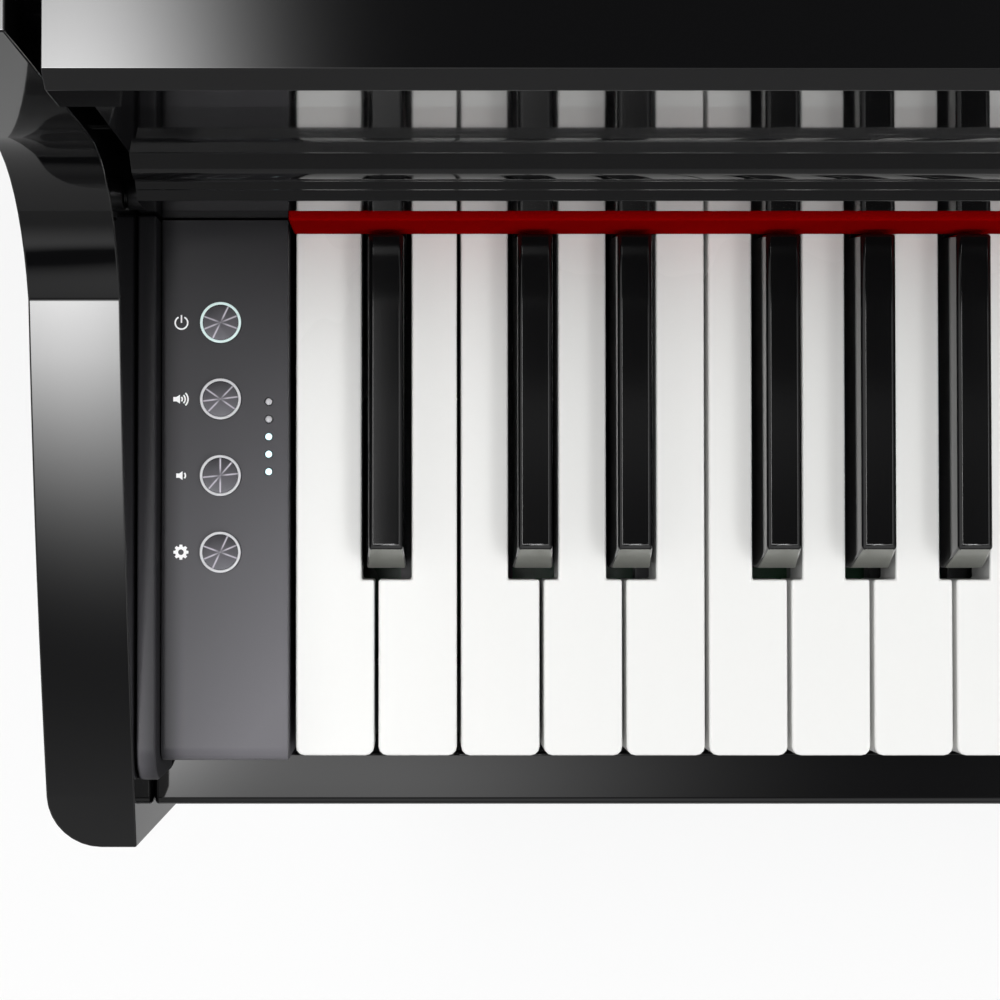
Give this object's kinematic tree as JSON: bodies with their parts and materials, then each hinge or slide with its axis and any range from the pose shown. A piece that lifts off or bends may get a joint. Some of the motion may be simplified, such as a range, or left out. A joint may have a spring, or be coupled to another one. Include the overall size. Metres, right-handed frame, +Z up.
{
  "type": "digital grand piano",
  "caption": "Free-standing digital grand piano with weighted keys, control block, hinged key cover, folding lid, music desk and pedal lyre.",
  "frame": {"origin": "on the floor, at the middle of the whole outline seen from above", "axes": "+X to the treble end, +Y from the player to the tail, +Z up"},
  "size_m": [1.3686, 0.93, 0.9559],
  "materials": {
    "board_green": "green circuit board",
    "brass": "polished brass",
    "chassis": "black moulded chassis",
    "deck_gold": "satin spruce-look deck",
    "gloss_black": "polished black polyester lacquer on board",
    "key_black": "glossy ebony-look sharps",
    "key_white": "smooth ivory-look key tops",
    "panel_grey": "satin dark grey moulded cover",
    "raw_steel": "zinc plated steel",
    "red_felt": "pressed red wool felt",
    "satin_black": "satin black painted board",
    "spun_metal": "radially spun aluminium"
  },
  "bodies": {
    "case": {"bottom_board": "satin_black", "cheek_block_right": "panel_grey", "control_block_left": "panel_grey", "control_board": "board_green", "headphone_box": "chassis", "inner_deck": "deck_gold", "key_frame": "chassis", "key_sensor_board": "board_green", "key_slip": "gloss_black", "keybed": "satin_black", "leg_front_left": "gloss_black", "leg_front_right": "gloss_black", "leg_rear": "gloss_black", "lid_hinge": "brass", "main_board": "board_green", "name_felt": "red_felt", "name_rail": "satin_black", "pedal_box": "gloss_black", "pedal_lyre": "gloss_black", "power_inlet_box": "chassis", "prop_cup": "brass", "rim": "gloss_black", "side_board_left": "gloss_black", "side_board_right": "gloss_black", "side_strip_left": "panel_grey", "side_strip_right": "panel_grey", "speaker_bass_side": "chassis", "speaker_treble_side": "chassis", "top_shelf": "gloss_black"},
    "white_key_a0": {"white_key_a0": "key_white"},
    "white_key_a1": {"white_key_a1": "key_white"},
    "white_key_b0": {"white_key_b0": "key_white"},
    "white_key_b1": {"white_key_b1": "key_white"},
    "white_key_c1": {"white_key_c1": "key_white"},
    "white_key_d1": {"white_key_d1": "key_white"},
    "white_key_e1": {"white_key_e1": "key_white"},
    "white_key_f1": {"white_key_f1": "key_white"},
    "white_key_g1": {"white_key_g1": "key_white"},
    "black_key_as0": {"black_key_as0": "key_black"},
    "black_key_as1": {"black_key_as1": "key_black"},
    "black_key_cs1": {"black_key_cs1": "key_black"},
    "black_key_ds1": {"black_key_ds1": "key_black"},
    "black_key_fs1": {"black_key_fs1": "key_black"},
    "black_key_gs1": {"black_key_gs1": "key_black"},
    "white_keys_c2_to_c8": {"white_keys_c2_to_c8": "key_white"},
    "black_keys_cs2_to_as7": {"black_keys_cs2_to_as7": "key_black"},
    "hammer_levers": {"hammer_levers": "raw_steel"},
    "button_power": {"button_power": "spun_metal"},
    "button_volume_up": {"button_volume_up": "spun_metal"},
    "button_volume_down": {"button_volume_down": "spun_metal"},
    "button_function": {"button_function": "spun_metal"},
    "pedal_soft": {"pedal_soft": "brass"},
    "pedal_sostenuto": {"pedal_sostenuto": "brass"},
    "pedal_damper": {"pedal_damper": "brass"},
    "fallboard": {"fallboard": "gloss_black"},
    "lid": {"lid_main": "gloss_black"},
    "lid_front_flap": {"lid_front_flap": "gloss_black"},
    "lid_prop": {"lid_prop": "gloss_black"},
    "music_desk": {"music_desk": "gloss_black"},
    "desk_stay": {"desk_stay": "brass"}
  },
  "joints": [
    {"name": "white_key_a0_press", "type": "hinge", "parent": "case", "child": "white_key_a0", "pos_m": [-0.59925, -0.219, 0.705], "axis": [1, 0, 0], "range_deg": [0, 2.58], "stiffness_Nm_per_rad": 0.5, "springref_deg": -22.92},
    {"name": "white_key_a1_press", "type": "hinge", "parent": "case", "child": "white_key_a1", "pos_m": [-0.43475, -0.219, 0.705], "axis": [1, 0, 0], "range_deg": [0, 2.58], "stiffness_Nm_per_rad": 0.5, "springref_deg": -22.92},
    {"name": "white_key_b0_press", "type": "hinge", "parent": "case", "child": "white_key_b0", "pos_m": [-0.57575, -0.219, 0.705], "axis": [1, 0, 0], "range_deg": [0, 2.58], "stiffness_Nm_per_rad": 0.5, "springref_deg": -22.92},
    {"name": "white_key_b1_press", "type": "hinge", "parent": "case", "child": "white_key_b1", "pos_m": [-0.41125, -0.219, 0.705], "axis": [1, 0, 0], "range_deg": [0, 2.58], "stiffness_Nm_per_rad": 0.5, "springref_deg": -22.92},
    {"name": "white_key_c1_press", "type": "hinge", "parent": "case", "child": "white_key_c1", "pos_m": [-0.55225, -0.219, 0.705], "axis": [1, 0, 0], "range_deg": [0, 2.58], "stiffness_Nm_per_rad": 0.5, "springref_deg": -22.92},
    {"name": "white_key_d1_press", "type": "hinge", "parent": "case", "child": "white_key_d1", "pos_m": [-0.52875, -0.219, 0.705], "axis": [1, 0, 0], "range_deg": [0, 2.58], "stiffness_Nm_per_rad": 0.5, "springref_deg": -22.92},
    {"name": "white_key_e1_press", "type": "hinge", "parent": "case", "child": "white_key_e1", "pos_m": [-0.50525, -0.219, 0.705], "axis": [1, 0, 0], "range_deg": [0, 2.58], "stiffness_Nm_per_rad": 0.5, "springref_deg": -22.92},
    {"name": "white_key_f1_press", "type": "hinge", "parent": "case", "child": "white_key_f1", "pos_m": [-0.48175, -0.219, 0.705], "axis": [1, 0, 0], "range_deg": [0, 2.58], "stiffness_Nm_per_rad": 0.5, "springref_deg": -22.92},
    {"name": "white_key_g1_press", "type": "hinge", "parent": "case", "child": "white_key_g1", "pos_m": [-0.45825, -0.219, 0.705], "axis": [1, 0, 0], "range_deg": [0, 2.58], "stiffness_Nm_per_rad": 0.5, "springref_deg": -22.92},
    {"name": "black_key_as0_press", "type": "hinge", "parent": "case", "child": "black_key_as0", "pos_m": [-0.5846, -0.219, 0.705], "axis": [1, 0, 0], "range_deg": [0, 2.58], "stiffness_Nm_per_rad": 0.5, "springref_deg": -22.92},
    {"name": "black_key_as1_press", "type": "hinge", "parent": "case", "child": "black_key_as1", "pos_m": [-0.4201, -0.219, 0.705], "axis": [1, 0, 0], "range_deg": [0, 2.58], "stiffness_Nm_per_rad": 0.5, "springref_deg": -22.92},
    {"name": "black_key_cs1_press", "type": "hinge", "parent": "case", "child": "black_key_cs1", "pos_m": [-0.5429, -0.219, 0.705], "axis": [1, 0, 0], "range_deg": [0, 2.58], "stiffness_Nm_per_rad": 0.5, "springref_deg": -22.92},
    {"name": "black_key_ds1_press", "type": "hinge", "parent": "case", "child": "black_key_ds1", "pos_m": [-0.515, -0.219, 0.705], "axis": [1, 0, 0], "range_deg": [0, 2.58], "stiffness_Nm_per_rad": 0.5, "springref_deg": -22.92},
    {"name": "black_key_fs1_press", "type": "hinge", "parent": "case", "child": "black_key_fs1", "pos_m": [-0.4734, -0.219, 0.705], "axis": [1, 0, 0], "range_deg": [0, 2.58], "stiffness_Nm_per_rad": 0.5, "springref_deg": -22.92},
    {"name": "black_key_gs1_press", "type": "hinge", "parent": "case", "child": "black_key_gs1", "pos_m": [-0.4469, -0.219, 0.705], "axis": [1, 0, 0], "range_deg": [0, 2.58], "stiffness_Nm_per_rad": 0.5, "springref_deg": -22.92},
    {"name": "white_keys_c2_to_c8_press", "type": "hinge", "parent": "case", "child": "white_keys_c2_to_c8", "pos_m": [0, -0.219, 0.705], "axis": [1, 0, 0], "range_deg": [0, 2.58], "stiffness_Nm_per_rad": 22, "springref_deg": -22.92},
    {"name": "black_keys_cs2_to_as7_press", "type": "hinge", "parent": "case", "child": "black_keys_cs2_to_as7", "pos_m": [0, -0.219, 0.705], "axis": [1, 0, 0], "range_deg": [0, 2.58], "stiffness_Nm_per_rad": 12, "springref_deg": -22.92},
    {"name": "hammer_levers_swing", "type": "hinge", "parent": "case", "child": "hammer_levers", "pos_m": [0, -0.331, 0.682], "axis": [1, 0, 0], "range_deg": [0, 6.44]},
    {"name": "button_power_push", "type": "slide", "parent": "case", "child": "button_power", "axis": [0, 0, -1], "range_m": [0, 0.0008], "stiffness_N_per_m": 250, "springref_m": -0.001},
    {"name": "button_volume_up_push", "type": "slide", "parent": "case", "child": "button_volume_up", "axis": [0, 0, -1], "range_m": [0, 0.0008], "stiffness_N_per_m": 250, "springref_m": -0.001},
    {"name": "button_volume_down_push", "type": "slide", "parent": "case", "child": "button_volume_down", "axis": [0, 0, -1], "range_m": [0, 0.0008], "stiffness_N_per_m": 250, "springref_m": -0.001},
    {"name": "button_function_push", "type": "slide", "parent": "case", "child": "button_function", "axis": [0, 0, -1], "range_m": [0, 0.0008], "stiffness_N_per_m": 250, "springref_m": -0.001},
    {"name": "pedal_soft_press", "type": "hinge", "parent": "case", "child": "pedal_soft", "pos_m": [-0.066, -0.227, 0.068], "axis": [1, 0, 0], "range_deg": [0, 4.25], "stiffness_Nm_per_rad": 6, "springref_deg": -14.32},
    {"name": "pedal_sostenuto_press", "type": "hinge", "parent": "case", "child": "pedal_sostenuto", "pos_m": [0, -0.227, 0.068], "axis": [1, 0, 0], "range_deg": [0, 4.25], "stiffness_Nm_per_rad": 6, "springref_deg": -14.32},
    {"name": "pedal_damper_press", "type": "hinge", "parent": "case", "child": "pedal_damper", "pos_m": [0.066, -0.227, 0.068], "axis": [1, 0, 0], "range_deg": [0, 4.25], "stiffness_Nm_per_rad": 6, "springref_deg": -14.32},
    {"name": "fallboard_close", "type": "hinge", "parent": "case", "child": "fallboard", "pos_m": [0, -0.2871, 0.761], "axis": [1, 0, 0], "range_deg": [0, 97]},
    {"name": "lid_open", "type": "hinge", "parent": "case", "child": "lid", "pos_m": [-0.6813, 0, 0.92515], "axis": [0, -1, 0], "range_deg": [0, 27]},
    {"name": "lid_flap_fold", "type": "hinge", "parent": "lid", "child": "lid_front_flap", "pos_m": [0, -0.096, 0.9406], "axis": [-1, 0, 0], "range_deg": [-180, 0]},
    {"name": "lid_prop_swing", "type": "hinge", "parent": "lid", "child": "lid_prop", "pos_m": [0.0387, -0.056, 0.9177], "axis": [0, 1, 0], "range_deg": [0, 85.05]},
    {"name": "music_desk_raise", "type": "hinge", "parent": "case", "child": "music_desk", "pos_m": [0, -0.249, 0.8898], "axis": [1, 0, 0], "range_deg": [0, 68]},
    {"name": "desk_stay_swing", "type": "hinge", "parent": "music_desk", "child": "desk_stay", "pos_m": [0, -0.189, 0.89015], "axis": [-1, 0, 0], "range_deg": [0, 128.05]}
  ],
  "couplings": [
    {"joint": "hammer_levers_swing", "follows": "white_keys_c2_to_c8_press", "ratio": 2.4737},
    {"joint": "lid_prop_swing", "follows": "lid_open", "ratio": 3.1481},
    {"joint": "desk_stay_swing", "follows": "music_desk_raise", "ratio": 1.8823}
  ]
}
